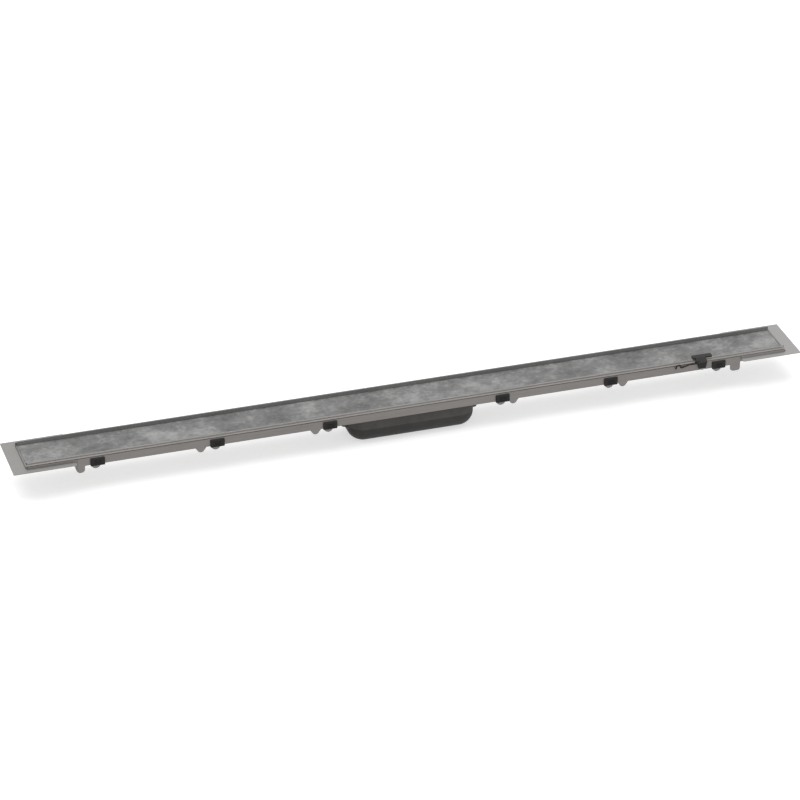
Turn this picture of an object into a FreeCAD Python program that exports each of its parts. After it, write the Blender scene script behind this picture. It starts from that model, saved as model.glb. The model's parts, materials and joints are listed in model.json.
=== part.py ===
import FreeCAD, Part
import math
import os

# Linear floor drain: a long stainless trough with a tile-filled cover tray, a frame that is
# set to the height of the floor, end flanges, levelling clips and a trap tub below.
# Millimetres. X runs along the drain, +Z is up, and the front is at -Y.
# The origin is the centre of the flat underside that the drain stands on.

V = FreeCAD.Vector

# Levels
FLANGE_TOP_Z = 50.0
RIM_ABOVE_FLANGE = 7.6
LIP_ABOVE_FLANGE = 5.2
TILE_ABOVE_FLANGE = 1.8
TROUGH_BELOW_FLANGE = 8.4
END_TROUGH_BELOW_FLANGE = 6.2
JOINT_BELOW_FLANGE = 24.2

# Plan sizes
TRAY_LENGTH = 1199.2
TRAY_WIDTH = 65.5
INLET_SLOT_WIDTH = 1.6
LEG_BEHIND_LIP = 1.65
FLANGE_END_WIDTH = 19.5
FLANGE_WIDTH = 97.0
SHALLOW_END_LENGTH = 77.0
RIGHT_LIP_SETBACK = 4.6
CORNER_RADIUS = 4.0

# Sheet and wall thicknesses
TROUGH_SHEET = 1.0
RAIL_SHEET = 1.0
FLANGE_SHEET = 1.0
FRAME_SHEET = 0.8
TRAY_SHEET = 1.0
TRAY_CORNER = 2.0
TRAY_FOLD = 1.6
TILE_THICKNESS = 3.2
TILE_BED = 0.6
TILE_BEVEL = 0.4
TROUGH_FOLD = 2.0

# Clearances
SEAT_GAP = 0.3
LIP_GAP = 0.6
SLIDE_GAP_SIDE = 0.7
SLIDE_GAP_END = 0.3
TRAY_END_GAP = 0.3
TILE_GAP = 0.4
BED_GAP = 0.1
PLATE_GAP = 0.3
LEG_FLOOR_GAP = 1.0
LIP_INSET = 0.2

# Levelling stations: the inner one from the end of the tub, the outer one from the end of the
# deep part, and the middle one about halfway between; the outer clips sit off to one side
INNER_STATION_FROM_EAR = 29.0
OUTER_STATION_FROM_DEEP_END = 33.9
MIDDLE_STATION_SHIFT = -2.6
OUTER_CLIP_SHIFT = -2.75

# Levelling clips
CLIP_WIDTH = 22.0
CLIP_DEPTH = 2.6
CLIP_BELOW_WALL_TOP = 1.4
CLIP_BELOW_TROUGH = 1.8
CLIP_EDGE = 1.3
CLIP_PEG_RADIUS = 2.5
CLIP_PEG_HOLE_GAP = 0.15
CLIP_GROOVE_WIDTH = 1.1
CLIP_GROOVE_DEPTH = 0.5
CLIP_GROOVE_PITCH = 2.6

# Feet cut from the side rails
FOOT_WIDTH = 17.0
FREE_FOOT_DEPTH = 7.8
FREE_FOOT_TIP_RADIUS = 5.6
CLIP_FOOT_DEPTH = 6.8
CLIP_FOOT_TIP_RADIUS = 7.2
FOOT_ROOT_FILLET = 2.0
FEET_SHIFT = -2.6
INNER_FREE_FOOT_OFFSET = 20.0
MIDDLE_FREE_FOOT_OFFSET = 22.7
CLIP_FOOT_OFFSET = 2.4
END_FOOT_WIDTH = 15.5
END_FOOT_DEPTH = 10.9
END_FOOT_CORNER = 5.5
RAIL_RETURN = 17.5

# Shelves of the frame that carry the tray, and the pads on them
SHELF_WIDTH = 18.0
SHELF_REACH = 9.0
PAD_LENGTH = 14.0
PAD_WIDTH = 5.0
PAD_THICKNESS = 0.8

# Tub, its joint to the neck, the outlet opening and the standpipe; the whole outlet sits a
# little to one side, as the feet do
OUTLET_SHIFT = -2.6
TUB_LENGTH = 200.2
TUB_SIDE_INSET = 1.7
TUB_CORNER = 26.0
TUB_BOTTOM_RADIUS = 23.0
TUB_WALL = 2.2
TUB_FLOOR = 2.5
JOINT_RIM_WIDTH = 5.0
JOINT_RIM_THICKNESS = 2.5
EAR_REACH = 7.4
EAR_WIDTH = 29.6
EAR_CORNER = 6.0
EAR_THICKNESS = 2.0
EAR_SCREW_SPREAD = 9.0
NECK_FLARE = 2.0
NECK_WALL = 2.5
NECK_PLATE = 2.5
OUTLET_SIDE_LAND = 10.8
OUTLET_END_LAND = 13.1
OUTLET_CORNER = 12.0
OUTLET_SEAL = 1.0
OUTLET_BORE_RADIUS = 16.0
STANDPIPE_WALL = 2.0
STANDPIPE_HEIGHT = 21.0
GASKET_WIDTH = 2.0
GASKET_HEIGHT = 1.2
GASKET_INSET = 1.5

# Trap bell and strainer
BELL_RADIUS = 21.5
BELL_WALL = 1.5
BELL_FLOOR_GAP = 4.5
BELL_HEIGHT = 27.5
BELL_FOOT_WIDTH = 5.0
BELL_FOOT_ANGLE = 20
BELL_EDGE = 3.0
GRIP_LENGTH = 26.0
GRIP_WIDTH = 4.0
GRIP_HEIGHT = 5.0
GRIP_END_RADIUS = 1.8
STRAINER_SHEET = 0.8
STRAINER_LAND = 2.2
STRAINER_GAP = 1.2
STRAINER_DEPTH = 5.0
STRAINER_SLOT_WIDTH = 2.6
STRAINER_SLOT_LENGTH = 9.0
STRAINER_PITCH = 7.0

# Screws
SCREW_RADIUS = 1.5
SCREW_HEAD_RADIUS = 2.7
SCREW_HEAD_HEIGHT = 1.6
SCREW_HOLE_GAP = 0.1
SCREW_END_SHIFT = 3.0

# Modelling allowances: a cutter runs this far past the face it leaves through, round corners
# leave at least this much straight edge, and places closer than this are the same
OVERCUT = 1.0
LEAST_STRAIGHT = 0.01
TOLERANCE = 1e-4

# Lifting tool stowed on the front rim
TOOL_FROM_CLIP = 28.1
TOOL_PLATE_LENGTH = 32.0
TOOL_PLATE_OFFSET = 3.85
TOOL_PLATE_REACH = 8.7
TOOL_PLATE_FRONT = 0.5
TOOL_PLATE_THICKNESS = 2.2
TOOL_PLATE_CORNER = 1.5
TOOL_TOP_WIDTH = 16.5
TOOL_BOTTOM_WIDTH = 11.0
TOOL_BLADE = 2.6
TOOL_BLADE_GAP = 1.0
TOOL_BELOW_FLANGE = 4.8
TOOL_SHOULDER_DROP = 4.2
TOOL_EYE_REACH = 2.6
TOOL_EYE_CORNER = 1.0
TOOL_KEY_WIDTH = 12.0
TOOL_KEY_THICKNESS = 1.0
TOOL_KEY_DEPTH = 8.0
TIP_WIDTH = 10.4
TIP_THICKNESS = 1.2
TIP_CORNER = 4.5
TIP_BELOW_BLADE = 2.8
TIP_SEAT_DEPTH = 2.0
WIRE_RADIUS = 1.2
WIRE_BEND_RADIUS = 2.0
WIRE_HOLE_GAP = 0.05
WIRE_HOLE_DEPTH = 5.0
WIRE_START_Z = 4.6

# The wire's corners after it leaves the tool: X from the tool's middle, Z from the flange
WIRE_CORNERS = ((-21.7, 4.9), (-34.7, 1.2), (-37.3, 6.8), (-42.1, 5.6), (-43.5, 0.8))

# Derived levels
rim_z = FLANGE_TOP_Z + RIM_ABOVE_FLANGE
lip_z = FLANGE_TOP_Z + LIP_ABOVE_FLANGE
lip_under_z = lip_z - FRAME_SHEET
wall_top_z = lip_under_z - LIP_GAP
tile_z = FLANGE_TOP_Z + TILE_ABOVE_FLANGE
tile_under_z = tile_z - TILE_THICKNESS
tray_floor_z = tile_under_z - TILE_BED
tray_under_z = tray_floor_z - TRAY_SHEET
shelf_z = tray_under_z - PAD_THICKNESS
shelf_under_z = shelf_z - FRAME_SHEET
deep_bottom_z = FLANGE_TOP_Z - TROUGH_BELOW_FLANGE
deep_floor_z = deep_bottom_z + TROUGH_SHEET
end_bottom_z = FLANGE_TOP_Z - END_TROUGH_BELOW_FLANGE
end_floor_z = end_bottom_z + TROUGH_SHEET
leg_bottom_z = end_floor_z + LEG_FLOOR_GAP
end_foot_bottom_z = deep_bottom_z - END_FOOT_DEPTH
neck_top_z = deep_bottom_z - OUTLET_SEAL
neck_plate_under_z = neck_top_z - NECK_PLATE
joint_z = FLANGE_TOP_Z - JOINT_BELOW_FLANGE
ear_under_z = joint_z - EAR_THICKNESS
standpipe_z = TUB_FLOOR + STANDPIPE_HEIGHT
bell_skirt_z = TUB_FLOOR + BELL_FLOOR_GAP
bell_top_z = TUB_FLOOR + BELL_HEIGHT
clip_top_z = wall_top_z - CLIP_BELOW_WALL_TOP
clip_bottom_z = deep_bottom_z - CLIP_BELOW_TROUGH
clip_peg_z = (clip_top_z + clip_bottom_z) / 2
tool_top_z = rim_z + TOOL_PLATE_THICKNESS
tool_bottom_z = FLANGE_TOP_Z - TOOL_BELOW_FLANGE

# Derived plan sizes, all measured from the middle
tray_x = TRAY_LENGTH / 2
tray_y = TRAY_WIDTH / 2
leg_in_x = tray_x + TRAY_END_GAP
slot_y = tray_y + INLET_SLOT_WIDTH
leg_in_y = slot_y + LEG_BEHIND_LIP
leg_out_x = leg_in_x + FRAME_SHEET
leg_out_y = leg_in_y + FRAME_SHEET
trough_in_x = leg_out_x + SLIDE_GAP_END
trough_in_y = leg_out_y + SLIDE_GAP_SIDE
trough_x = trough_in_x + TROUGH_SHEET
trough_y = trough_in_y + TROUGH_SHEET
rail_y = trough_y + RAIL_SHEET
deep_x = trough_x - SHALLOW_END_LENGTH
rail_x = deep_x + RAIL_SHEET
flange_x = trough_x + FLANGE_END_WIDTH
flange_y = FLANGE_WIDTH / 2
flange_in_x = rail_x + PLATE_GAP
lip_y = trough_y - LIP_INSET
right_lip_x = trough_x - RIGHT_LIP_SETBACK
clip_front_y = rail_y + CLIP_DEPTH
tool_blade_y = rail_y + TOOL_BLADE_GAP
tool_front_y = tool_blade_y + TOOL_BLADE
tub_x = TUB_LENGTH / 2
tub_y = trough_y - TUB_SIDE_INSET
neck_x = tub_x - NECK_FLARE
neck_y = tub_y - NECK_FLARE
neck_corner = TUB_CORNER - NECK_FLARE
outlet_x = neck_x - OUTLET_END_LAND
outlet_y = neck_y - OUTLET_SIDE_LAND
ear_x = tub_x + EAR_REACH
inner_station = ear_x + INNER_STATION_FROM_EAR
outer_station = deep_x - OUTER_STATION_FROM_DEEP_END
middle_station = (inner_station + outer_station) / 2 + MIDDLE_STATION_SHIFT
tool_x = outer_station + OUTER_CLIP_SHIFT - TOOL_FROM_CLIP


def box(x0, x1, y0, y1, z0, z1):
    """A block between two corners, given in any order."""
    low = V(min(x0, x1), min(y0, y1), min(z0, z1))
    return Part.makeBox(abs(x1 - x0), abs(y1 - y0), abs(z1 - z0), low)


def rod(radius, start, direction, length):
    """A round bar."""
    return Part.makeCylinder(radius, length, start, direction)


def rounded_plan(half_x, half_y, radius):
    """A closed outline in plan: a rectangle about the origin with round corners."""
    radius = min(radius, half_x - LEAST_STRAIGHT, half_y - LEAST_STRAIGHT)
    across = V(half_x - radius, 0, 0)
    along = V(0, half_y - radius, 0)
    quarter = math.pi / 2
    arcs = []
    for turn, centre in enumerate((across + along, along - across, -across - along, across - along)):
        arcs.append([centre + V(math.cos(angle), math.sin(angle), 0) * radius
                     for angle in (quarter * turn, quarter * (turn + 1 / 2), quarter * (turn + 1))])
    edges = []
    for arc, following in zip(arcs, arcs[1:] + arcs[:1]):
        edges.append(Part.Arc(*arc).toShape())
        edges.append(Part.LineSegment(arc[-1], following[0]).toShape())
    return Part.Wire(edges)


def slab(half_x, half_y, radius, z0, z1):
    """A plate or block with round corners in plan."""
    face = Part.Face(rounded_plan(half_x, half_y, radius))
    face.translate(V(0, 0, z0))
    return face.extrude(V(0, 0, z1 - z0))


def flared_block(low, high, z0, z1):
    """A block whose outline widens or narrows from z0 to z1; each outline is half X, half Y, corner."""
    wires = []
    for outline, z in ((low, z0), (high, z1)):
        wire = rounded_plan(*outline)
        wire.translate(V(0, 0, z))
        wires.append(wire)
    return Part.makeLoft(wires, True, True)


def polygon_plate(points, normal):
    """A flat plate from corner points, extruded along normal."""
    return Part.Face(Part.makePolygon(points + [points[0]])).extrude(normal)


def level_edges(shape, z):
    """The edges of a shape that lie wholly in one level."""
    return [edge for edge in shape.Edges
            if abs(edge.BoundBox.ZMin - z) < TOLERANCE and abs(edge.BoundBox.ZMax - z) < TOLERANCE]


def mirror_x(shape):
    return shape.mirror(V(0, 0, 0), V(1, 0, 0))


def mirror_y(shape):
    return shape.mirror(V(0, 0, 0), V(0, 1, 0))


def fused(shapes):
    """One clean solid from several that touch or overlap."""
    whole = shapes[0].fuse(list(shapes[1:])) if len(shapes) > 1 else shapes[0]
    whole = whole.removeSplitter()
    return whole.Solids[0] if len(whole.Solids) == 1 else whole


def cut_all(shape, tools):
    result = shape.cut(list(tools))
    return result.Solids[0] if len(result.Solids) == 1 else result


def station_xs():
    """The X of every levelling clip, from the left end to the right end."""
    inner = [-middle_station, -inner_station, inner_station, middle_station]
    return [OUTER_CLIP_SHIFT - outer_station] + inner + [OUTER_CLIP_SHIFT + outer_station]


def folded_pan(half_x, half_y, corner, bottom_z, top_z, fold):
    """A block with round corners in plan and a rounded edge round its bottom."""
    block = slab(half_x, half_y, corner, bottom_z, top_z)
    return block.makeFillet(fold, level_edges(block, bottom_z))


def upright_holes(points, radius, z0, z1):
    """Cutters for upright holes between two levels, one at each point."""
    return [rod(radius, point + V(0, 0, z0 - OVERCUT), V(0, 0, 1), z1 - z0 + 2 * OVERCUT)
            for point in points]


def peg_holes():
    """Bores through the trough wall and the side rails for the clips' pegs."""
    holes = []
    for x in station_xs():
        for side in (-1, 1):
            start = V(x, side * (trough_in_y - OVERCUT), clip_peg_z)
            holes.append(rod(CLIP_PEG_RADIUS + CLIP_PEG_HOLE_GAP, start, V(0, side, 0),
                             rail_y - trough_in_y + 2 * OVERCUT))
    return holes


def outlet_screw_points():
    """Places of the screws that hold the neck under the trough floor, from the outlet's middle."""
    side_y = outlet_y + STRAINER_LAND + SCREW_HEAD_RADIUS + SCREW_HOLE_GAP
    end_x = outlet_x + STRAINER_LAND + SCREW_HEAD_RADIUS + SCREW_HOLE_GAP + SCREW_END_SHIFT
    points = [V(x, y, 0) for x in (-outlet_x / 2, outlet_x / 2) for y in (-side_y, side_y)]
    return points + [V(-end_x, 0, 0), V(end_x, 0, 0)]


def joint_screw_points():
    """Places of the screws that join the ears of the tub and the neck, from the outlet's middle."""
    end_x = (tub_x + ear_x) / 2
    return [V(x, y, 0) for x in (-end_x, end_x) for y in (-EAR_SCREW_SPREAD, EAR_SCREW_SPREAD)]


def at_outlet(shape):
    """A shape made about the origin, moved to the outlet's place along the drain."""
    shape.translate(V(OUTLET_SHIFT, 0, 0))
    return shape


def right_end_cutter(z):
    """What stands above z past the right end of the side lips."""
    return box(right_lip_x, flange_x, -flange_y, flange_y, z, rim_z)


def make_trough():
    """The folded trough: deep between the end feet, shallow under the end flanges."""
    inner_corner = CORNER_RADIUS - TROUGH_SHEET
    inner_fold = TROUGH_FOLD - TROUGH_SHEET
    outside = fused([
        folded_pan(deep_x, trough_y, CORNER_RADIUS, deep_bottom_z, wall_top_z, TROUGH_FOLD),
        folded_pan(trough_x, trough_y, CORNER_RADIUS, end_bottom_z, wall_top_z, TROUGH_FOLD),
    ])
    inside = fused([
        folded_pan(deep_x - TROUGH_SHEET, trough_in_y, inner_corner, deep_floor_z,
                   wall_top_z + OVERCUT, inner_fold),
        folded_pan(trough_in_x, trough_in_y, inner_corner, end_floor_z, wall_top_z + OVERCUT,
                   inner_fold),
    ])
    window = slab(outlet_x, outlet_y, OUTLET_CORNER, deep_bottom_z - OVERCUT,
                  deep_floor_z + OVERCUT)
    screw_holes = upright_holes(outlet_screw_points(), SCREW_RADIUS + SCREW_HOLE_GAP,
                                deep_bottom_z, deep_floor_z)
    end_notches = [box(side * (trough_x - CORNER_RADIUS), side * (trough_x + OVERCUT), -trough_in_y,
                       trough_in_y, FLANGE_TOP_Z, wall_top_z + OVERCUT) for side in (-1, 1)]
    outlet_cutters = [at_outlet(cutter) for cutter in [window] + screw_holes]
    end_notches.append(right_end_cutter(FLANGE_TOP_Z))
    return cut_all(outside, [inside] + end_notches + outlet_cutters + peg_holes())


def make_end_flange():
    """An end flange, at the right: a plate round the trough's end, with upstands along its sides."""
    plate = box(flange_in_x, flange_x, -flange_y, flange_y, FLANGE_TOP_Z - FLANGE_SHEET,
                FLANGE_TOP_Z)
    window = slab(trough_x, trough_y, CORNER_RADIUS, FLANGE_TOP_Z - FLANGE_SHEET - OVERCUT,
                  FLANGE_TOP_Z + OVERCUT)
    plate = plate.cut(window)
    upstand_end = trough_x - CORNER_RADIUS
    upstands = [box(flange_in_x, upstand_end, side * trough_y, side * rail_y,
                    FLANGE_TOP_Z - FLANGE_SHEET, wall_top_z) for side in (-1, 1)]
    return fused([plate] + upstands)


def tangent_point(point, centre, radius, side):
    """Where a line from point touches a circle; both lie in an XZ plane."""
    away = point - centre
    distance = away.Length
    lead = math.acos(radius / distance)
    angle = math.atan2(away.z, away.x) + side * lead
    return centre + V(math.cos(angle), 0, math.sin(angle)) * radius


def foot(x, y, depth, tip_radius):
    """A rounded V foot hanging from the lower edge of a rail, with its root in the rail."""
    root_z = deep_bottom_z
    half = FOOT_WIDTH / 2
    tip = V(x, y, root_z - depth)
    centre = tip + V(0, 0, tip_radius)
    left = V(x - half, y, root_z)
    right = V(x + half, y, root_z)
    left_touch = tangent_point(left, centre, tip_radius, 1)
    right_touch = tangent_point(right, centre, tip_radius, -1)
    up = V(0, 0, RAIL_SHEET)
    edges = [
        Part.LineSegment(left + up, left).toShape(),
        Part.LineSegment(left, left_touch).toShape(),
        Part.Arc(left_touch, tip, right_touch).toShape(),
        Part.LineSegment(right_touch, right).toShape(),
        Part.LineSegment(right, right + up).toShape(),
        Part.LineSegment(right + up, left + up).toShape(),
    ]
    return Part.Face(Part.Wire(edges)).extrude(V(0, RAIL_SHEET, 0))


def root_edges(shape, xs, z):
    """The short edges along Y at the roots of the feet."""
    found = []
    for edge in shape.Edges:
        bounds = edge.BoundBox
        along_y = max(bounds.XLength, bounds.ZLength) < TOLERANCE
        if along_y and abs(bounds.ZMin - z) < 2 * TOLERANCE:
            if any(abs(bounds.XMin - x) < 2 * TOLERANCE for x in xs):
                found.append(edge)
    return found


def end_foot_rounding(side):
    """What the outer lower corner of an end foot loses: a block less a round bar along Y."""
    outer = side * rail_x
    inner = side * (rail_x - END_FOOT_CORNER)
    top_z = end_foot_bottom_z + END_FOOT_CORNER
    block = box(inner, outer + side * OVERCUT, -rail_y - OVERCUT, 0, end_foot_bottom_z - OVERCUT,
                top_z)
    bar = rod(END_FOOT_CORNER, V(inner, -rail_y - 2 * OVERCUT, top_z), V(0, 1, 0),
              rail_y + 3 * OVERCUT)
    return block.cut(bar)


def make_foot_rail():
    """The front side rail: a plate on the trough's wall with feet cut along its lower edge."""
    flat_end = deep_x - CORNER_RADIUS
    bend_centre_y = CORNER_RADIUS - trough_y
    plate = box(-flat_end, flat_end, -rail_y, -trough_y, deep_bottom_z, wall_top_z)
    free_reach = (inner_station + INNER_FREE_FOOT_OFFSET, middle_station + MIDDLE_FREE_FOOT_OFFSET)
    free_xs = [FEET_SHIFT + side * reach for side in (-1, 1) for reach in free_reach]
    clip_xs = [x - CLIP_FOOT_OFFSET for x in station_xs()]
    feet = [foot(x, -rail_y, FREE_FOOT_DEPTH, FREE_FOOT_TIP_RADIUS) for x in free_xs]
    feet += [foot(x, -rail_y, CLIP_FOOT_DEPTH, CLIP_FOOT_TIP_RADIUS) for x in clip_xs]
    end_roots = [FEET_SHIFT + side * (rail_x - END_FOOT_WIDTH) for side in (-1, 1)]
    end_feet = [box(root, math.copysign(flat_end, root), -rail_y, -trough_y, end_foot_bottom_z,
                    deep_bottom_z) for root in end_roots]
    rail = fused([plate] + feet + end_feet)
    roots = [x + side * FOOT_WIDTH / 2 for x in free_xs + clip_xs for side in (-1, 1)]
    rail = rail.makeFillet(FOOT_ROOT_FILLET, root_edges(rail, roots + end_roots, deep_bottom_z))
    rail = rail.makeFillet(END_FOOT_CORNER, root_edges(rail, end_roots, end_foot_bottom_z))
    end_strip = box(flat_end, rail_x - CORNER_RADIUS / 2, -rail_y, -trough_y, end_bottom_z,
                    wall_top_z)
    ends = []
    for side in (-1, 1):
        ring = rod(CORNER_RADIUS + RAIL_SHEET, V(0, 0, end_foot_bottom_z), V(0, 0, 1),
                   end_bottom_z - end_foot_bottom_z)
        ring = ring.cut(rod(CORNER_RADIUS, V(0, 0, end_foot_bottom_z), V(0, 0, 1),
                            end_bottom_z - end_foot_bottom_z))
        ring.translate(V(side * flat_end, bend_centre_y, 0))
        quarter = ring.common(box(side * flat_end, side * (rail_x + OVERCUT), -rail_y - OVERCUT,
                                  bend_centre_y, end_foot_bottom_z, end_bottom_z))
        back_y = bend_centre_y + RAIL_RETURN
        back = box(side * deep_x, side * rail_x, bend_centre_y, back_y, end_foot_bottom_z,
                   end_bottom_z)
        corner = [edge for edge in level_edges(back, end_foot_bottom_z)
                  if edge.BoundBox.YMin > back_y - TOLERANCE]
        back = back.makeFillet(END_FOOT_CORNER, corner)
        ends += [quarter, back, end_strip if side > 0 else mirror_x(end_strip)]
    roundings = [end_foot_rounding(side) for side in (-1, 1)]
    return cut_all(fused([rail] + ends), peg_holes() + roundings)


def make_clip(x):
    """A levelling clip on the front rail: a grooved block with a peg through the wall."""
    block = box(x - CLIP_WIDTH / 2, x + CLIP_WIDTH / 2, -clip_front_y, -rail_y, clip_bottom_z,
                clip_top_z)
    front = [edge for edge in block.Edges if edge.BoundBox.YMax < -clip_front_y + TOLERANCE]
    upright = [edge for edge in block.Edges if edge.BoundBox.YLength > CLIP_DEPTH / 2]
    block = block.makeFillet(CLIP_EDGE, front + upright)
    peg = rod(CLIP_PEG_RADIUS, V(x, -rail_y - CLIP_DEPTH / 2, clip_peg_z), V(0, 1, 0),
              CLIP_DEPTH / 2 + rail_y - leg_out_y - SEAT_GAP)
    grooves = [box(x - CLIP_WIDTH / 4, x + CLIP_WIDTH / 4, -clip_front_y - OVERCUT,
                   CLIP_GROOVE_DEPTH - clip_front_y,
                   clip_peg_z + row * CLIP_GROOVE_PITCH - CLIP_GROOVE_WIDTH / 2,
                   clip_peg_z + row * CLIP_GROOVE_PITCH + CLIP_GROOVE_WIDTH / 2)
               for row in (-1, 0, 1)]
    return cut_all(fused([block, peg]), grooves)


def make_height_frame():
    """The frame that is set to the floor's height: side lips, legs in the trough, and shelves."""
    lip = box(-leg_out_x, leg_out_x, -lip_y, lip_y, lip_under_z, lip_z)
    legs = slab(leg_out_x, leg_out_y, TRAY_CORNER + FRAME_SHEET, leg_bottom_z, lip_z)
    between_legs = slab(leg_in_x, leg_in_y, TRAY_CORNER, leg_bottom_z - OVERCUT, lip_under_z)
    opening = slab(leg_in_x, slot_y, TRAY_CORNER, lip_under_z - OVERCUT, lip_z + OVERCUT)
    end_notches = [box(side * (leg_in_x - TRAY_CORNER), side * (leg_out_x + OVERCUT), -slot_y,
                       slot_y, tile_z, lip_z + OVERCUT) for side in (-1, 1)]
    end_notches.append(right_end_cutter(tile_z))
    ring = cut_all(fused([lip, legs]), [between_legs, opening] + end_notches).removeSplitter()
    brackets = []
    for x in station_xs():
        for side in (-1, 1):
            x0 = x - SHELF_WIDTH / 2
            x1 = x + SHELF_WIDTH / 2
            brackets.append(box(x0, x1, side * leg_in_y, side * leg_out_y, shelf_under_z,
                                leg_bottom_z + FRAME_SHEET))
            brackets.append(box(x0, x1, side * leg_out_y, side * (leg_in_y - SHELF_REACH),
                                shelf_under_z, shelf_z))
    return fused([ring] + brackets)


def make_tray_pads():
    """Soft pads between the shelves and the tray, one on each shelf."""
    pads = []
    for x in station_xs():
        for side in (-1, 1):
            outer = side * (tray_y - TRAY_FOLD)
            pads.append(box(x - PAD_LENGTH / 2, x + PAD_LENGTH / 2, outer,
                            outer - side * PAD_WIDTH, shelf_z, tray_under_z))
    return Part.makeCompound(pads)


def make_cover_tray():
    """The folded cover tray that the tile lies in; its ends stand no higher than the tile."""
    outside = folded_pan(tray_x, tray_y, TRAY_CORNER, tray_under_z, rim_z, TRAY_FOLD)
    inside = folded_pan(tray_x - TRAY_SHEET, tray_y - TRAY_SHEET, TRAY_CORNER - TRAY_SHEET,
                        tray_floor_z, rim_z + OVERCUT, TRAY_FOLD - TRAY_SHEET)
    inner_y = tray_y - TRAY_SHEET
    end_notches = [box(side * (tray_x - TRAY_CORNER), side * (tray_x + OVERCUT), -inner_y, inner_y,
                       tile_z, rim_z + OVERCUT) for side in (-1, 1)]
    return cut_all(outside, [inside] + end_notches)


def make_tile_bed():
    """The layer of adhesive under the tile."""
    inset = TRAY_FOLD + BED_GAP
    return slab(tray_x - inset, tray_y - inset, TRAY_CORNER - TRAY_SHEET, tray_floor_z, tile_under_z)


def make_tile():
    """The long tile strip, with a small bevel round its top edge."""
    inset = TRAY_SHEET + TILE_GAP
    tile = slab(tray_x - inset, tray_y - inset, TRAY_CORNER - TRAY_SHEET, tile_under_z, tile_z)
    return tile.makeChamfer(TILE_BEVEL, level_edges(tile, tile_z))


def make_outlet_seal():
    """The flat seal between the trough's floor and the neck."""
    seal = slab(neck_x, neck_y, neck_corner, neck_top_z, deep_bottom_z)
    holes = upright_holes(outlet_screw_points(), SCREW_RADIUS + SCREW_HOLE_GAP, neck_top_z,
                          deep_bottom_z)
    window = slab(outlet_x, outlet_y, OUTLET_CORNER, neck_top_z - OVERCUT, deep_bottom_z + OVERCUT)
    return cut_all(seal, [window] + holes)


def joint_ring(inset, width, z0, z1):
    """A ring that follows the tub's outline, set in from it."""
    ring = slab(tub_x - inset, tub_y - inset, TUB_CORNER - inset, z0, z1)
    inset += width
    hole = slab(tub_x - inset, tub_y - inset, TUB_CORNER - inset, z0 - OVERCUT, z1 + OVERCUT)
    return ring.cut(hole).Solids[0]


def ears(z0, z1):
    """The two ears at the ends of the joint, as one strip across the tub."""
    return slab(ear_x, EAR_WIDTH / 2, EAR_CORNER, z0, z1)


def make_outlet_neck():
    """The moulded neck: a plate under the trough, a flared wall, and the upper half of the joint."""
    outside = flared_block((tub_x, tub_y, TUB_CORNER), (neck_x, neck_y, neck_corner), joint_z,
                           neck_top_z)
    body = fused([outside, ears(joint_z, joint_z + EAR_THICKNESS)])
    cavity = flared_block((tub_x - NECK_WALL, tub_y - NECK_WALL, TUB_CORNER - NECK_WALL),
                          (neck_x - NECK_WALL, neck_y - NECK_WALL, neck_corner - NECK_WALL),
                          joint_z, neck_plate_under_z)
    rim = joint_ring(NECK_WALL / 2, JOINT_RIM_WIDTH - NECK_WALL / 2, joint_z,
                     joint_z + JOINT_RIM_THICKNESS)
    passage = slab(outlet_x, outlet_y, OUTLET_CORNER, joint_z, neck_top_z + OVERCUT)
    holes = upright_holes(outlet_screw_points(), SCREW_RADIUS, neck_plate_under_z, neck_top_z)
    holes += upright_holes(joint_screw_points(), SCREW_RADIUS, joint_z, joint_z + EAR_THICKNESS)
    return cut_all(fused([body.cut(cavity), rim]), [passage] + holes)


def gasket_ring(z0, z1):
    """The ring of the gasket between the two halves of the joint."""
    return joint_ring(GASKET_INSET, GASKET_WIDTH, z0, z1)


def make_outlet_tub():
    """The moulded trap tub, with its rim, ears, gasket groove, standpipe and outlet bore."""
    body = folded_pan(tub_x, tub_y, TUB_CORNER, 0, joint_z, TUB_BOTTOM_RADIUS)
    body = fused([body, ears(ear_under_z, joint_z)])
    hollow = folded_pan(tub_x - TUB_WALL, tub_y - TUB_WALL, TUB_CORNER - TUB_WALL, TUB_FLOOR,
                        joint_z + OVERCUT, TUB_BOTTOM_RADIUS - TUB_WALL)
    rim = joint_ring(TUB_WALL / 2, JOINT_RIM_WIDTH - TUB_WALL / 2, joint_z - JOINT_RIM_THICKNESS,
                     joint_z)
    standpipe = rod(OUTLET_BORE_RADIUS + STANDPIPE_WALL, V(0, 0, TUB_FLOOR / 2), V(0, 0, 1),
                    standpipe_z - TUB_FLOOR / 2)
    bore = upright_holes([V(0, 0, 0)], OUTLET_BORE_RADIUS, 0, standpipe_z)
    holes = upright_holes(joint_screw_points(), SCREW_RADIUS + SCREW_HOLE_GAP, ear_under_z, joint_z)
    groove = gasket_ring(joint_z - GASKET_HEIGHT, joint_z + OVERCUT)
    return cut_all(fused([body.cut(hollow), rim, standpipe]), bore + [groove] + holes)


def make_joint_gasket():
    """The gasket in the groove of the tub's rim."""
    return gasket_ring(joint_z - GASKET_HEIGHT, joint_z)


def screw(point, seat_z, up, length):
    """A small pan-head screw: the head's underside at seat_z, the shank away from the head."""
    head = rod(SCREW_HEAD_RADIUS, point + V(0, 0, seat_z), V(0, 0, up), SCREW_HEAD_HEIGHT)
    top = seat_z + up * SCREW_HEAD_HEIGHT
    head = head.makeFillet(SCREW_HEAD_HEIGHT / 2, level_edges(head, top))
    shank = rod(SCREW_RADIUS, point + V(0, 0, seat_z + up * SCREW_HEAD_HEIGHT / 2), V(0, 0, -up),
                length + SCREW_HEAD_HEIGHT / 2)
    return fused([head, shank])


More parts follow.
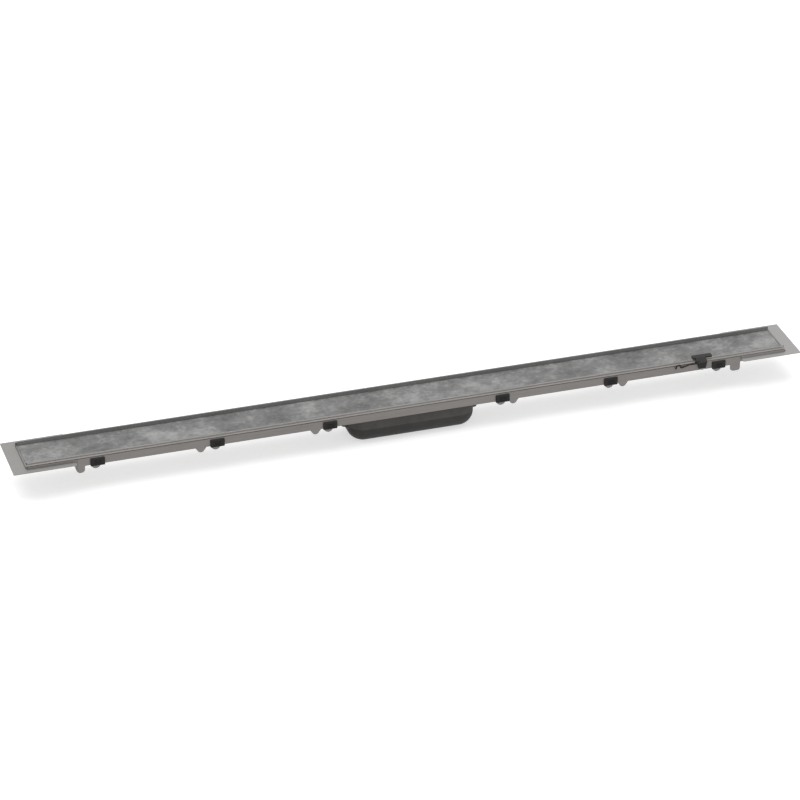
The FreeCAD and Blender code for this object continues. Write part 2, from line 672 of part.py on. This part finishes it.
def make_outlet_screws():
    """Screws through the trough's floor and the seal into the neck."""
    length = TROUGH_SHEET + OUTLET_SEAL + NECK_PLATE
    return Part.makeCompound([screw(point, deep_floor_z, 1, length)
                              for point in outlet_screw_points()])


def make_joint_screws():
    """Screws from below through the tub's ears into the neck's ears."""
    length = 2 * EAR_THICKNESS
    return Part.makeCompound([screw(point, ear_under_z, -1, length)
                              for point in joint_screw_points()])


def make_trap_bell():
    """The bell over the standpipe: it stands on four feet and has a grip on top."""
    shell = rod(BELL_RADIUS, V(0, 0, TUB_FLOOR), V(0, 0, 1), BELL_HEIGHT)
    shell = shell.makeFillet(BELL_EDGE, level_edges(shell, bell_top_z))
    hollow = rod(BELL_RADIUS - BELL_WALL, V(0, 0, TUB_FLOOR - OVERCUT), V(0, 0, 1),
                 BELL_HEIGHT - BELL_WALL + OVERCUT)
    hollow = hollow.makeFillet(BELL_EDGE - BELL_WALL, level_edges(hollow, bell_top_z - BELL_WALL))
    shell = shell.cut(hollow)
    skirt_gap = rod(BELL_RADIUS + OVERCUT, V(0, 0, TUB_FLOOR - OVERCUT), V(0, 0, 1),
                    BELL_FLOOR_GAP + OVERCUT)
    reach = BELL_RADIUS + 2 * OVERCUT
    across = box(-reach, reach, -BELL_FOOT_WIDTH / 2, BELL_FOOT_WIDTH / 2,
                 TUB_FLOOR - 2 * OVERCUT, bell_skirt_z + OVERCUT)
    feet = []
    for turn in (BELL_FOOT_ANGLE, -BELL_FOOT_ANGLE):
        pair = across.copy()
        pair.rotate(V(0, 0, 0), V(0, 0, 1), turn)
        feet.append(pair)
    shell = shell.cut(skirt_gap.cut(feet))
    grip = box(-GRIP_LENGTH / 2, GRIP_LENGTH / 2, -GRIP_WIDTH / 2, GRIP_WIDTH / 2,
               bell_top_z - BELL_WALL / 2, bell_top_z + GRIP_HEIGHT)
    upright = [edge for edge in grip.Edges if edge.BoundBox.ZLength > GRIP_HEIGHT / 2]
    grip = grip.makeFillet(GRIP_END_RADIUS, upright)
    return fused([shell, grip])


def make_hair_strainer():
    """The strainer basket that hangs in the outlet opening by its rim."""
    rim = slab(outlet_x + STRAINER_LAND, outlet_y + STRAINER_LAND, OUTLET_CORNER + STRAINER_LAND,
               deep_floor_z, deep_floor_z + STRAINER_SHEET)
    wall_x = outlet_x - STRAINER_GAP
    wall_y = outlet_y - STRAINER_GAP
    corner = OUTLET_CORNER - STRAINER_GAP
    bottom_z = deep_floor_z - STRAINER_DEPTH
    floor_z = bottom_z + STRAINER_SHEET
    basket = slab(wall_x, wall_y, corner, bottom_z, deep_floor_z + STRAINER_SHEET)
    hollow = slab(wall_x - STRAINER_SHEET, wall_y - STRAINER_SHEET, corner - STRAINER_SHEET,
                  floor_z, deep_floor_z + STRAINER_SHEET + OVERCUT)
    count = int((2 * wall_x - 2 * corner) / STRAINER_PITCH)
    row_pitch = (2 * wall_y - 2 * STRAINER_SHEET) / 3
    slots = []
    for column in range(count):
        x = (column - (count - 1) / 2) * STRAINER_PITCH
        for row in (-1, 0, 1):
            y = row * row_pitch
            slots.append(box(x - STRAINER_SLOT_WIDTH / 2, x + STRAINER_SLOT_WIDTH / 2,
                             y - STRAINER_SLOT_LENGTH / 2, y + STRAINER_SLOT_LENGTH / 2,
                             bottom_z - OVERCUT, floor_z + OVERCUT))
    return cut_all(fused([rim, basket]), [hollow] + slots)


def wire_path():
    """The bent wire's route: out of the tool's left side, down, and round into a hook."""
    y = -(tool_blade_y + TOOL_BLADE / 2)
    start_z = FLANGE_TOP_Z + WIRE_START_Z
    corners = [V(tool_side_x(start_z) + WIRE_HOLE_DEPTH, y, start_z)]
    corners += [V(tool_x + x, y, FLANGE_TOP_Z + z) for x, z in WIRE_CORNERS]
    edges = []
    last = corners[0]
    for before, corner, after in zip(corners, corners[1:], corners[2:]):
        back = (before - corner).normalize()
        ahead = (after - corner).normalize()
        half_turn = (math.pi - back.getAngle(ahead)) / 2
        trim = WIRE_BEND_RADIUS * math.tan(half_turn)
        middle = (back + ahead).normalize()
        centre = corner + middle * (WIRE_BEND_RADIUS / math.cos(half_turn))
        arc_in = corner + back * trim
        arc_out = corner + ahead * trim
        edges.append(Part.LineSegment(last, arc_in).toShape())
        edges.append(Part.Arc(arc_in, centre - middle * WIRE_BEND_RADIUS, arc_out).toShape())
        last = arc_out
    edges.append(Part.LineSegment(last, corners[-1]).toShape())
    return Part.Wire(edges)


def swept_wire(radius):
    """A round wire along the route."""
    path = wire_path()
    start = path.OrderedEdges[0]
    heading = start.tangentAt(start.FirstParameter)
    origin = path.OrderedVertexes[0].Point
    profile = Part.Wire(Part.makeCircle(radius, origin, heading))
    return path.makePipeShell([profile], True, True)


def tool_side_x(z):
    """The X of the tool's left side at a level: the blade narrows downward."""
    share = (z - tool_bottom_z) / (rim_z - tool_bottom_z)
    return tool_x - (TOOL_BOTTOM_WIDTH + (TOOL_TOP_WIDTH - TOOL_BOTTOM_WIDTH) * share) / 2


def make_lifter_handle():
    """The lifting tool: a T plate on the tray's rim, a blade in front, and a key in the slot."""
    plate_x = tool_x + TOOL_PLATE_OFFSET
    plate = box(plate_x - TOOL_PLATE_LENGTH / 2, plate_x + TOOL_PLATE_LENGTH / 2,
                -(tray_y + TOOL_PLATE_FRONT), TOOL_PLATE_REACH - tray_y, rim_z, tool_top_z)
    upright = [edge for edge in plate.Edges if edge.BoundBox.ZLength > TOOL_PLATE_THICKNESS / 2]
    plate = plate.makeFillet(TOOL_PLATE_CORNER, upright)
    root_y = tray_y - TOOL_BLADE / 2
    profile = [(root_y, rim_z), (root_y, tool_top_z), (tray_y + TOOL_PLATE_FRONT, tool_top_z),
               (tool_front_y, tool_top_z - TOOL_SHOULDER_DROP), (tool_front_y, tool_bottom_z),
               (tool_blade_y, tool_bottom_z), (tool_blade_y, lip_z + SEAT_GAP),
               (leg_in_y, rim_z)]
    blade = polygon_plate([V(tool_x - TOOL_TOP_WIDTH / 2, -y, z) for y, z in profile],
                          V(TOOL_TOP_WIDTH, 0, 0))
    taper = (TOOL_TOP_WIDTH - TOOL_BOTTOM_WIDTH) / 2
    for mirror in (-1, 1):
        edge_x = tool_x + mirror * TOOL_TOP_WIDTH / 2
        wedge = [(edge_x, tool_bottom_z), (edge_x, rim_z), (edge_x - mirror * taper, tool_bottom_z)]
        blade = blade.cut(polygon_plate([V(x, -tool_front_y, z) for x, z in wedge],
                                        V(0, TOOL_BLADE, 0)))
    key_y = (tray_y + slot_y) / 2
    key = box(tool_x - TOOL_KEY_WIDTH / 2, tool_x + TOOL_KEY_WIDTH / 2,
              -key_y - TOOL_KEY_THICKNESS / 2, -key_y + TOOL_KEY_THICKNESS / 2,
              rim_z - TOOL_KEY_DEPTH, rim_z)
    eye = box(tool_x - TOOL_TOP_WIDTH / 2 - TOOL_EYE_REACH, tool_x - TOOL_TOP_WIDTH / 4,
              -tool_blade_y, -leg_in_y, lip_z + SEAT_GAP, rim_z)
    outer = [edge for edge in eye.Edges if edge.BoundBox.XMax < eye.BoundBox.XMin + TOLERANCE]
    eye = eye.makeFillet(TOOL_EYE_CORNER, outer)
    handle = fused([plate, blade, key, eye])
    return cut_all(handle, [swept_wire(WIRE_RADIUS + WIRE_HOLE_GAP), make_lifter_tip()])


def make_lifter_tip():
    """The steel tip let into the lower edge of the tool's blade."""
    centre_y = (tool_blade_y + tool_front_y) / 2
    tip = box(tool_x - TIP_WIDTH / 2, tool_x + TIP_WIDTH / 2, -centre_y - TIP_THICKNESS / 2,
              -centre_y + TIP_THICKNESS / 2, tool_bottom_z - TIP_BELOW_BLADE,
              tool_bottom_z + TIP_SEAT_DEPTH)
    lower = [edge for edge in level_edges(tip, tool_bottom_z - TIP_BELOW_BLADE)
             if edge.BoundBox.YLength > TIP_THICKNESS / 2]
    return tip.makeFillet(TIP_CORNER, lower)


def make_lifter_wire():
    """The tool's bent wire hook."""
    return swept_wire(WIRE_RADIUS)


def save(name, shape):
    """Writes one piece and says how much material it has."""
    shape.exportStep(os.path.join("parts", name + ".step"))
    print("%-24s %2d solid %10.1f mm3 %s" % (name, len(shape.Solids), shape.Volume,
                                            "ok" if shape.isValid() else "NOT VALID"))


os.makedirs("parts", exist_ok=True)

save("trough", make_trough())
end_flange = make_end_flange()
save("end_flange_right", end_flange.cut(right_end_cutter(FLANGE_TOP_Z)).Solids[0])
save("end_flange_left", mirror_x(end_flange))
front_rail = make_foot_rail()
save("foot_rail_front", front_rail)
save("foot_rail_rear", mirror_y(front_rail))

for number, station in enumerate(station_xs(), 1):
    clip = make_clip(station)
    save("height_clip_front_%d" % number, clip)
    save("height_clip_rear_%d" % number, mirror_y(clip))

save("outlet_seal", at_outlet(make_outlet_seal()))
save("outlet_neck", at_outlet(make_outlet_neck()))
save("outlet_tub", at_outlet(make_outlet_tub()))
save("joint_gasket", at_outlet(make_joint_gasket()))
save("outlet_screws", at_outlet(make_outlet_screws()))
save("joint_screws", at_outlet(make_joint_screws()))
save("trap_bell", at_outlet(make_trap_bell()))
save("hair_strainer", at_outlet(make_hair_strainer()))

save("height_frame", make_height_frame())
save("tray_pads", make_tray_pads())
save("cover_tray", make_cover_tray())
save("tile_bed", make_tile_bed())
save("tile_strip", make_tile())
save("lifter_handle", make_lifter_handle())
save("lifter_tip", make_lifter_tip())
save("lifter_wire", make_lifter_wire())
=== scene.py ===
import json
import math

import bpy
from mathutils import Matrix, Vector

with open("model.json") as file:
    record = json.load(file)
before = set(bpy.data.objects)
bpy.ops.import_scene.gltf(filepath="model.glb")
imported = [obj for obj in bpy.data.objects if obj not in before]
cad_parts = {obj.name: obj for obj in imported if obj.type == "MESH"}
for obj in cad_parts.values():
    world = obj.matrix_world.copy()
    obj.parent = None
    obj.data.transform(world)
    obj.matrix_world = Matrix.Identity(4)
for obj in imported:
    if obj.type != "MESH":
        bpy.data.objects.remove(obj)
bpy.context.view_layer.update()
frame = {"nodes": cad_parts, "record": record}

# The drain's looks, in metres, in the frame's own axes: X along the drain, front at -Y.

# Distances from the drain's middle past which a point is on the tray's rim or on its outside;
# past them the tray's colour holds painted shade and painted light
TRAY_SHADED_RIM_Y = 0.0318
TRAY_LIT_OUTSIDE_Y = 0.0327

# Camera: a long lens from the front left, looking down on the drain
FOCAL_PIXELS = 3752.98
IMAGE_PIXELS = 800
SENSOR_WIDTH = 36.0
CAMERA_AZIMUTH = -17.558
CAMERA_ELEVATION = 29.354
CAMERA_DISTANCE = 5.67993
CAMERA_TARGET = Vector((-0.01575, -0.004934, 0.050))
CAMERA_REACH = 100

# Light
WORLD_LEVEL = 0.50
KEY_LEVEL = 1.65
KEY_ANGLE = 60
KEY_HEADING = (0.10, -0.12, -1.0)
WHITE = (1.0, 1.0, 1.0, 1.0)

# The floor lies a hair below the drain's flat underside, so that the two never share a plane
FLOOR_Z = -0.0002
FLOOR_SIZE = 40
FLOOR_COLOUR = (0.70, 0.70, 0.70, 1.0)
FLOOR_LIFT = 0.60

# Floor and world are white to these rays too, as they are to the camera's own
WHITE_RAYS = ("Is Glossy Ray", "Is Transmission Ray")

# Finishes, as linear colours
SATIN_DARK = (0.204, 0.191, 0.183, 1.0)
SATIN_LIGHT = (0.304, 0.285, 0.273, 1.0)
LIP_DARK = (0.236, 0.222, 0.213, 1.0)
LIP_LIGHT = (0.350, 0.330, 0.316, 1.0)
TRAY_INSIDE_DARK = (0.230, 0.227, 0.226, 1.0)
TRAY_INSIDE_LIGHT = (0.342, 0.338, 0.336, 1.0)
# Painted shade darkens the tray's rim top; painted light brightens its outside face in the slot
TRAY_RIM_SHADED_DARK = (0.160, 0.156, 0.153, 1.0)
TRAY_RIM_SHADED_LIGHT = (0.240, 0.234, 0.230, 1.0)
TRAY_OUTSIDE_LIT_DARK = (0.610, 0.588, 0.568, 1.0)
TRAY_OUTSIDE_LIT_LIGHT = (0.735, 0.708, 0.684, 1.0)
# Painted shade on the left end flange and painted light on the right one, two copies of one
# finish
LEFT_FLANGE_SHADED_DARK = (0.250, 0.242, 0.233, 1.0)
LEFT_FLANGE_SHADED_LIGHT = (0.322, 0.312, 0.300, 1.0)
RIGHT_FLANGE_LIT_DARK = (0.302, 0.292, 0.287, 1.0)
RIGHT_FLANGE_LIT_LIGHT = (0.386, 0.374, 0.368, 1.0)
TILE_DARK = (0.088, 0.088, 0.087, 1.0)
TILE_MIDDLE = (0.186, 0.186, 0.184, 1.0)
TILE_LIGHT = (0.355, 0.355, 0.352, 1.0)
CLIP_BLACK = (0.019, 0.0187, 0.0180, 1.0)
TUB_BLACK = (0.054, 0.052, 0.050, 1.0)
# The neck is painted lighter than the tub: painted light on its face lit from above
NECK_LIT_BLACK = (0.094, 0.089, 0.083, 1.0)
TOOL_BLACK = (0.020, 0.019, 0.018, 1.0)
WIRE_BLACK = (0.016, 0.015, 0.015, 1.0)
RUBBER_BLACK = (0.020, 0.020, 0.020, 1.0)
MORTAR_GREY = (0.300, 0.290, 0.270, 1.0)
SCREW_GREY = (0.360, 0.360, 0.365, 1.0)

# How dark the dark side of a plain colour is, and how far a moulded colour wanders both ways
MORTAR_SHADE = 0.75
SCREW_SHADE = 0.7
MOULD_SPREAD = 0.25

# Noises: features per metre, stretch and shift along the axes, layers and their roughness
BRUSHING = {"scale": 1900, "stretch": (0.012, 1, 1), "detail": 3}
STREAKS = {"scale": 420, "stretch": (0.02, 1, 1), "detail": 4, "shift": (0.3, 0, 0)}
SHEET_CLOUDS = {"scale": 14, "detail": 3, "rough": 0.6, "shift": (5, 1, 2)}
TILE_CLOUDS = {"scale": 17, "detail": 4, "rough": 0.55, "shift": (0.37, 0.1, 0)}
TILE_MOTTLE = {"scale": 62, "detail": 5, "rough": 0.62, "shift": (2.1, 0.7, 0)}
TILE_SPECKLE = {"scale": 190, "stretch": (0.8, 1, 1), "detail": 4, "rough": 0.6,
                "shift": (0.9, 3.2, 0)}
TILE_GRAIN = {"scale": 900, "detail": 2, "rough": 0.6}
MOULD_FLOW = {"scale": 30, "detail": 3, "shift": (1, 2, 3)}
MOULD_GRAIN = {"scale": 1400, "detail": 2}
MORTAR_SAND = {"scale": 700, "detail": 4, "rough": 0.7}
TURNING = {"scale": 2500, "stretch": (1, 1, 0.2), "detail": 3}

# How much of each noise goes into a mix, in the order in which the mix names them
SHEET_WEIGHTS = (0.45, 0.30, 0.25)
TILE_WEIGHTS = (0.42, 0.30, 0.20, 0.08)
TILE_BUMP_WEIGHTS = (0.6, 0.4)
MOULD_WEIGHTS = (0.7, 0.3)

# Where a finish's colours lie between noise 0 and 1
SHEET_STOPS = (0.30, 0.70)
TILE_STOPS = (0.38, 0.50, 0.62)
MOULD_STOPS = (0.35, 0.65)
MORTAR_STOPS = (0.35, 0.65)
SCREW_STOPS = (0.3, 0.7)

# Roughness where the noise is at the low and at the high end of its usual span
NOISE_SPAN = (0.3, 0.7)
SHEET_ROUGH = (0.40, 0.56)
TILE_ROUGH = (0.55, 0.75)
SCREW_ROUGH = (0.25, 0.4)
MOULD_ROUGH_SPREAD = 0.06
CLIP_ROUGH = 0.50
TUB_ROUGH = 0.50
NECK_ROUGH = 0.50
TOOL_ROUGH = 0.45
WIRE_ROUGH = 0.40
SEAL_ROUGH = 0.7
PAD_ROUGH = 0.75
MORTAR_ROUGH = 0.9
FLOOR_ROUGH = 0.9

# How proud a finish's texture stands
BRUSHING_DEPTH = 0.00003
TILE_DEPTH = 0.0002
MOULD_DEPTH = 0.00004
MORTAR_DEPTH = 0.0003
TURNING_DEPTH = 0.00002

# Shares of metal and gloss
SHEET_METAL = 0.30
FLANGE_METAL = 0.20
SCREW_METAL = 1.0
MOULD_SHINE = 0.2


def shade(colour, level):
    """The colour, darker or lighter by the factor level."""
    return tuple(part * level for part in colour[:3]) + (1.0,)


class Nodes:
    """A material's node tree, with short calls to add and join nodes."""

    def __init__(self, name):
        self.material = bpy.data.materials.new(name)
        self.material.use_nodes = True
        self.tree = self.material.node_tree
        self.shader = self.tree.nodes["Principled BSDF"]
        self.place = self.add("ShaderNodeTexCoord").outputs["Object"]

    def add(self, kind, **values):
        node = self.tree.nodes.new(kind)
        for key, value in values.items():
            setattr(node, key, value)
        return node

    def join(self, source, target):
        self.tree.links.new(source, target)

    def noise(self, scale, stretch=(1, 1, 1), detail=4, rough=0.5, shift=(0, 0, 0)):
        """Noise from 0 to 1; scale is in features per metre along an unstretched axis."""
        mapping = self.add("ShaderNodeMapping")
        mapping.inputs["Scale"].default_value = stretch
        mapping.inputs["Location"].default_value = shift
        self.join(self.place, mapping.inputs["Vector"])
        noise = self.add("ShaderNodeTexNoise")
        noise.inputs["Scale"].default_value = scale
        noise.inputs["Detail"].default_value = detail
        noise.inputs["Roughness"].default_value = rough
        self.join(mapping.outputs["Vector"], noise.inputs["Vector"])
        return noise.outputs["Fac"]

    def math(self, operation, one, two=0.0):
        """One of the math node's sums, of values that are each a socket or a number."""
        node = self.add("ShaderNodeMath", operation=operation)
        for socket, value in zip(node.inputs, (one, two)):
            if isinstance(value, (int, float)):
                socket.default_value = value
            else:
                self.join(value, socket)
        return node.outputs["Value"]

    def mix(self, sources, weights):
        """The sum of the sources, each times its weight."""
        total, *others = [self.math("MULTIPLY", *pair) for pair in zip(sources, weights)]
        for share in others:
            total = self.math("ADD", total, share)
        return total

    def ramp(self, source, places, colours):
        """A colour for each value: the colours lie at their places between 0 and 1."""
        ramp = self.add("ShaderNodeValToRGB")
        elements = ramp.color_ramp.elements
        while len(elements) < len(places):
            elements.new(0.5)
        for element, place, colour in zip(elements, places, colours):
            element.position = place
            element.color = colour
        self.join(source, ramp.inputs["Fac"])
        return ramp.outputs["Color"]

    def paint(self, colour):
        self.join(colour, self.shader.inputs["Base Color"])

    def roughen(self, source, low, high):
        """Roughness from low to high over the noise's usual span."""
        fit = self.add("ShaderNodeMapRange")
        fit.inputs["From Min"].default_value, fit.inputs["From Max"].default_value = NOISE_SPAN
        fit.inputs["To Min"].default_value = low
        fit.inputs["To Max"].default_value = high
        self.join(source, fit.inputs["Value"])
        self.join(fit.outputs["Result"], self.shader.inputs["Roughness"])

    def bump(self, height, distance):
        """Bump from a height of 0 to 1, where 1 stands distance metres proud."""
        bump = self.add("ShaderNodeBump")
        bump.inputs["Strength"].default_value = 1.0
        bump.inputs["Distance"].default_value = distance
        self.join(height, bump.inputs["Height"])
        self.join(bump.outputs["Normal"], self.shader.inputs["Normal"])


def stainless(name, dark, light, metal=SHEET_METAL, painted_zones=()):
    """Satin stainless sheet: fine brushing along the drain, faint clouds and fine scratches.

    A zone is a distance across the drain and the pair of colours, painted shade or light, past
    it.
    """
    mat = Nodes(name)
    brushing = mat.noise(**BRUSHING)
    tone = mat.mix((brushing, mat.noise(**STREAKS), mat.noise(**SHEET_CLOUDS)), SHEET_WEIGHTS)
    colour = mat.ramp(tone, SHEET_STOPS, (dark, light))
    for start, zone_dark, zone_light in painted_zones:
        split = mat.add("ShaderNodeSeparateXYZ")
        mat.join(mat.place, split.inputs["Vector"])
        across = mat.math("ABSOLUTE", split.outputs["Y"])
        blend = mat.add("ShaderNodeMix", data_type="RGBA")
        mat.join(mat.math("GREATER_THAN", across, start), blend.inputs["Factor"])
        mat.join(colour, blend.inputs["A"])
        mat.join(mat.ramp(tone, SHEET_STOPS, (zone_dark, zone_light)), blend.inputs["B"])
        colour = blend.outputs["Result"]
    mat.paint(colour)
    mat.shader.inputs["Metallic"].default_value = metal
    mat.roughen(tone, *SHEET_ROUGH)
    mat.bump(brushing, BRUSHING_DEPTH)
    return mat.material


def tile():
    """Matt concrete-look tile: clouds tens of millimetres across, two finer mottles and grain."""
    mat = Nodes("tile")
    mottle = mat.noise(**TILE_MOTTLE)
    grain = mat.noise(**TILE_GRAIN)
    tone = mat.mix((mat.noise(**TILE_CLOUDS), mottle, mat.noise(**TILE_SPECKLE), grain),
                   TILE_WEIGHTS)
    mat.paint(mat.ramp(tone, TILE_STOPS, (TILE_DARK, TILE_MIDDLE, TILE_LIGHT)))
    mat.roughen(mottle, *TILE_ROUGH)
    mat.bump(mat.mix((mottle, grain), TILE_BUMP_WEIGHTS), TILE_DEPTH)
    return mat.material


def moulded(name, colour, rough):
    """Moulded plastic or rubber with a fine spark-eroded texture and faint flow marks."""
    mat = Nodes(name)
    grain = mat.noise(**MOULD_GRAIN)
    tone = mat.mix((mat.noise(**MOULD_FLOW), grain), MOULD_WEIGHTS)
    mat.paint(mat.ramp(tone, MOULD_STOPS,
                       (shade(colour, 1 - MOULD_SPREAD), shade(colour, 1 + MOULD_SPREAD))))
    mat.roughen(tone, rough - MOULD_ROUGH_SPREAD, rough + MOULD_ROUGH_SPREAD)
    mat.shader.inputs["Specular IOR Level"].default_value = MOULD_SHINE
    mat.bump(grain, MOULD_DEPTH)
    return mat.material


def mortar():
    """Set tile adhesive: coarse, dull and sandy."""
    mat = Nodes("mortar")
    sand = mat.noise(**MORTAR_SAND)
    mat.paint(mat.ramp(sand, MORTAR_STOPS, (shade(MORTAR_GREY, MORTAR_SHADE), MORTAR_GREY)))
    mat.shader.inputs["Roughness"].default_value = MORTAR_ROUGH
    mat.bump(sand, MORTAR_DEPTH)
    return mat.material


def turned_steel():
    """Plain bright screw steel with fine marks."""
    mat = Nodes("turned_steel")
    marks = mat.noise(**TURNING)
    mat.paint(mat.ramp(marks, SCREW_STOPS, (shade(SCREW_GREY, SCREW_SHADE), SCREW_GREY)))
    mat.shader.inputs["Metallic"].default_value = SCREW_METAL
    mat.roughen(marks, *SCREW_ROUGH)
    mat.bump(marks, TURNING_DEPTH)
    return mat.material


def dress(finishes, own):
    """Gives every node the finish of its material slot, or one of its own."""
    for part in frame["record"]["subparts"]:
        node = frame["nodes"][part["node"]]
        node.data.materials.clear()
        node.data.materials.append(own.get(part["node"], finishes[part["material_slot"]]))


def make_floor():
    """A plain white floor that keeps the drain's shadow."""
    bpy.ops.mesh.primitive_plane_add(size=FLOOR_SIZE, location=(0, 0, FLOOR_Z))
    floor = bpy.context.object
    floor.name = "floor"
    mat = Nodes("floor")
    mat.shader.inputs["Base Color"].default_value = FLOOR_COLOUR
    mat.shader.inputs["Roughness"].default_value = FLOOR_ROUGH
    mat.shader.inputs["Specular IOR Level"].default_value = 0.0
    path = mat.add("ShaderNodeLightPath")
    seen = path.outputs["Is Camera Ray"]
    for ray in WHITE_RAYS:
        seen = mat.math("MAXIMUM", seen, path.outputs[ray])
    mat.shader.inputs["Emission Color"].default_value = WHITE
    mat.join(mat.math("MULTIPLY", seen, FLOOR_LIFT), mat.shader.inputs["Emission Strength"])
    floor.data.materials.append(mat.material)


def make_light():
    """A soft even world, white to the eye and in reflections, and one large soft lamp above."""
    world = bpy.data.worlds.new("studio")
    world.use_nodes = True
    bpy.context.scene.world = world
    tree = world.node_tree
    background = tree.nodes["Background"]
    background.inputs["Color"].default_value = WHITE
    path = tree.nodes.new("ShaderNodeLightPath")
    seen = path.outputs["Is Camera Ray"]
    for ray in WHITE_RAYS:
        either = tree.nodes.new("ShaderNodeMath")
        either.operation = "MAXIMUM"
        tree.links.new(seen, either.inputs[0])
        tree.links.new(path.outputs[ray], either.inputs[1])
        seen = either.outputs["Value"]
    level = tree.nodes.new("ShaderNodeMapRange")
    level.inputs["To Min"].default_value = WORLD_LEVEL
    level.inputs["To Max"].default_value = 1.0
    tree.links.new(seen, level.inputs["Value"])
    tree.links.new(level.outputs["Result"], background.inputs["Strength"])
    lamp = bpy.data.lights.new("key", "SUN")
    lamp.energy = KEY_LEVEL
    lamp.angle = math.radians(KEY_ANGLE)
    key = bpy.data.objects.new("key", lamp)
    key.rotation_euler = Vector(KEY_HEADING).to_track_quat("-Z", "Y").to_euler()
    bpy.context.collection.objects.link(key)


def make_camera():
    """The camera of the reference view."""
    azimuth = math.radians(CAMERA_AZIMUTH)
    elevation = math.radians(CAMERA_ELEVATION)
    ahead = Vector((-math.sin(azimuth) * math.cos(elevation),
                    math.cos(azimuth) * math.cos(elevation), -math.sin(elevation)))
    data = bpy.data.cameras.new("camera")
    data.sensor_width = SENSOR_WIDTH
    data.lens = FOCAL_PIXELS / IMAGE_PIXELS * SENSOR_WIDTH
    data.clip_end = CAMERA_REACH
    camera = bpy.data.objects.new("camera", data)
    camera.location = CAMERA_TARGET - ahead * CAMERA_DISTANCE
    camera.rotation_euler = ahead.to_track_quat("-Z", "Y").to_euler()
    bpy.context.collection.objects.link(camera)
    bpy.context.scene.camera = camera


own_finishes = {
    # Painted shade on the left end flange, painted light on the right one
    "end_flange_left": stainless("flange_left_painted_shade", LEFT_FLANGE_SHADED_DARK, LEFT_FLANGE_SHADED_LIGHT,
                                 FLANGE_METAL),
    "end_flange_right": stainless("flange_right_painted_light", RIGHT_FLANGE_LIT_DARK, RIGHT_FLANGE_LIT_LIGHT,
                                  FLANGE_METAL),
    "height_frame": stainless("stainless_lip", LIP_DARK, LIP_LIGHT),
    # The tray's colour holds painted shade on its rim and painted light on its outside face
    "cover_tray": stainless("tray_stainless_painted_shade_and_light", TRAY_INSIDE_DARK, TRAY_INSIDE_LIGHT,
                            painted_zones=[(TRAY_SHADED_RIM_Y, TRAY_RIM_SHADED_DARK, TRAY_RIM_SHADED_LIGHT),
                                   (TRAY_LIT_OUTSIDE_Y, TRAY_OUTSIDE_LIT_DARK, TRAY_OUTSIDE_LIT_LIGHT)]),
    # Painted light: the neck lighter than the tub below it
    "outlet_neck": moulded("neck_plastic_painted_light", NECK_LIT_BLACK, NECK_ROUGH),
}
dress({
    "stainless": stainless("stainless_satin", SATIN_DARK, SATIN_LIGHT),
    "tile": tile(),
    "adhesive": mortar(),
    "clip_plastic": moulded("clip_plastic", CLIP_BLACK, CLIP_ROUGH),
    "tub_plastic": moulded("tub_plastic", TUB_BLACK, TUB_ROUGH),
    "tool_plastic": moulded("tool_plastic", TOOL_BLACK, TOOL_ROUGH),
    "tool_wire": moulded("tool_wire", WIRE_BLACK, WIRE_ROUGH),
    "seal_rubber": moulded("seal_rubber", RUBBER_BLACK, SEAL_ROUGH),
    "pad_rubber": moulded("pad_rubber", RUBBER_BLACK, PAD_ROUGH),
    "screw_steel": turned_steel(),
}, own_finishes)
make_floor()
make_light()
make_camera()
bpy.context.scene.view_settings.view_transform = "Standard"
